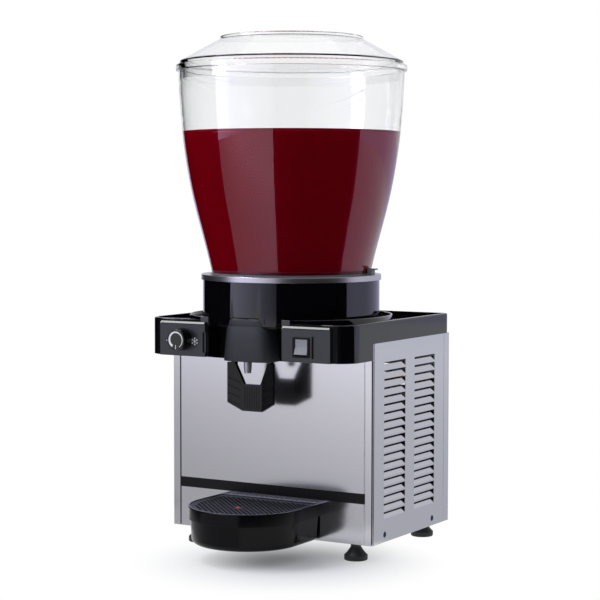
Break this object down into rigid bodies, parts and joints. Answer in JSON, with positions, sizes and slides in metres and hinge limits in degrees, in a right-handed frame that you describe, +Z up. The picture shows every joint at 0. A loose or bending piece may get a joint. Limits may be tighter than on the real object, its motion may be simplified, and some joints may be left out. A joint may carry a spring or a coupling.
{
  "type": "cold drink dispenser",
  "caption": "Countertop cold drink dispenser: a steel cabinet with a chilled, stirred clear bowl, a push-back tap, a thermostat knob, a rocker switch and a drip tray.",
  "frame": {"origin": "on the surface the feet stand on, under the middle of the bounding box", "axes": "+X to the right seen from the front, +Y back from the tap to the rear panel, +Z up"},
  "size_m": [0.34, 0.391, 0.754],
  "materials": {
    "panel_steel": "satin stainless sheet",
    "plated_steel": "zinc plated",
    "polished_steel": "drawn stainless, bright",
    "black_moulding": "glossy moulding",
    "satin_moulding": "satin moulding",
    "lever_moulding": "fine textured moulding",
    "tray_moulding": "semi-gloss moulding",
    "grey_moulding": "light grey moulding",
    "stripe_film": "smooth film",
    "clear_plastic": "clear polycarbonate",
    "foot_rubber": "hard rubber",
    "seal_rubber": "blue-grey soft seal",
    "black_rubber": "soft rubber",
    "float_red": "red moulding",
    "dark_screw": "blackened screw",
    "white_moulding": "white moulding",
    "foam": "expanded foam",
    "copper_tube": "bare copper tube",
    "fin_aluminium": "bare fins",
    "black_enamel": "black enamel",
    "motor_metal": "die-cast housing",
    "spring_steel": "spring wire"
  },
  "bodies": {
    "cabinet": {"back_panel": "panel_steel", "base_pan": "plated_steel", "bowl_seal": "seal_rubber", "cold_dish": "panel_steel", "collar_trim_ring": "polished_steel", "compressor": "black_enamel", "compressor_grommets": "black_rubber", "condenser": "fin_aluminium", "condenser_pipe": "copper_tube", "cord_gland": "black_rubber", "discharge_pipe": "copper_tube", "evaporator_coil": "copper_tube", "fan_bracket": "plated_steel", "fan_motor": "motor_metal", "fan_shroud": "black_enamel", "filter_drier": "copper_tube", "front_panel": "panel_steel", "front_stripe": "stripe_film", "insulation": "foam", "left_control_plate": "satin_moulding", "left_side_panel": "panel_steel", "lever_pin": "plated_steel", "liquid_pipe": "copper_tube", "mixer_motor": "motor_metal", "motor_bracket": "plated_steel", "neck_collar": "black_moulding", "paddle_post": "white_moulding", "right_control_plate": "satin_moulding", "right_side_panel": "panel_steel", "side_panel_screws": "dark_screw", "spout": "polished_steel", "suction_pipe": "copper_tube", "switch_body": "tray_moulding", "tap_body": "satin_moulding", "tap_cover": "satin_moulding", "tap_spring": "spring_steel", "thermostat": "grey_moulding", "top_housing": "black_moulding"},
    "knob": {"thermostat_knob": "black_moulding"},
    "rocker": {"switch_rocker": "grey_moulding"},
    "lever": {"tap_lever": "lever_moulding"},
    "plunger": {"tap_plunger": "white_moulding", "plunger_seal": "seal_rubber"},
    "drive": {"drive_shaft": "polished_steel", "drive_magnet": "motor_metal"},
    "paddle": {"mixer_paddle": "white_moulding"},
    "fan": {"fan_shaft": "polished_steel", "fan_blades": "black_enamel"},
    "bowl": {"bowl": "clear_plastic"},
    "lid": {"lid": "clear_plastic"},
    "tray": {"drip_tray": "tray_moulding"},
    "grille": {"tray_grille": "tray_moulding"},
    "float": {"level_float": "float_red"},
    "foot_left_front": {"foot_left_front": "foot_rubber"},
    "foot_left_back": {"foot_left_back": "foot_rubber"},
    "foot_right_front": {"foot_right_front": "foot_rubber"},
    "foot_right_back": {"foot_right_back": "foot_rubber"}
  },
  "joints": [
    {"name": "knob_turn", "type": "hinge", "parent": "cabinet", "child": "knob", "pos_m": [-0.1034, -0.1246, 0.3135], "axis": [0, -1, 0], "range_deg": [-40, 230]},
    {"name": "rocker_rock", "type": "hinge", "parent": "cabinet", "child": "rocker", "pos_m": [0.0963, -0.1206, 0.3102], "axis": [1, 0, 0], "range_deg": [0, 18]},
    {"name": "lever_push", "type": "hinge", "parent": "cabinet", "child": "lever", "pos_m": [0, -0.0975, 0.3], "axis": [1, 0, 0], "range_deg": [0, 15], "stiffness_Nm_per_rad": 0.5, "springref_deg": -11.46},
    {"name": "plunger_lift", "type": "slide", "parent": "cabinet", "child": "plunger", "axis": [0, 0, 1], "range_m": [0, 0.0037], "deforming": ["tap_spring"]},
    {"name": "drive_spin", "type": "hinge", "parent": "cabinet", "child": "drive", "pos_m": [0, 0.0105, 0.38], "axis": [0, 0, 1], "continuous": true},
    {"name": "paddle_spin", "type": "hinge", "parent": "cabinet", "child": "paddle", "pos_m": [0, 0.0105, 0.43], "axis": [0, 0, 1], "continuous": true},
    {"name": "fan_spin", "type": "hinge", "parent": "cabinet", "child": "fan", "pos_m": [0.11, 0.0705, 0.131], "axis": [1, 0, 0], "continuous": true},
    {"name": "bowl_lift", "type": "slide", "parent": "cabinet", "child": "bowl", "axis": [0, 0, 1], "range_m": [0, 0.1]},
    {"name": "lid_lift", "type": "slide", "parent": "bowl", "child": "lid", "axis": [0, 0, 1], "range_m": [0, 0.05]},
    {"name": "tray_pull", "type": "slide", "parent": "cabinet", "child": "tray", "axis": [0, -1, 0], "range_m": [0, 0.15]},
    {"name": "grille_lift", "type": "slide", "parent": "tray", "child": "grille", "axis": [0, 0, 1], "range_m": [0, 0.04]},
    {"name": "float_rise", "type": "slide", "parent": "tray", "child": "float", "axis": [0, 0, 1], "range_m": [0, 0.006]},
    {"name": "foot_left_front_turn", "type": "hinge", "parent": "cabinet", "child": "foot_left_front", "pos_m": [-0.1343, -0.0325, 0.02], "axis": [0, 0, 1], "continuous": true},
    {"name": "foot_left_back_turn", "type": "hinge", "parent": "cabinet", "child": "foot_left_back", "pos_m": [-0.1343, 0.1785, 0.02], "axis": [0, 0, 1], "continuous": true},
    {"name": "foot_right_front_turn", "type": "hinge", "parent": "cabinet", "child": "foot_right_front", "pos_m": [0.1343, -0.0325, 0.02], "axis": [0, 0, 1], "continuous": true},
    {"name": "foot_right_back_turn", "type": "hinge", "parent": "cabinet", "child": "foot_right_back", "pos_m": [0.1343, 0.1785, 0.02], "axis": [0, 0, 1], "continuous": true}
  ],
  "couplings": [
    {"joint": "plunger_lift", "follows": "lever_push", "m_per_rad": 0.014},
    {"joint": "paddle_spin", "follows": "drive_spin", "ratio": 1}
  ]
}
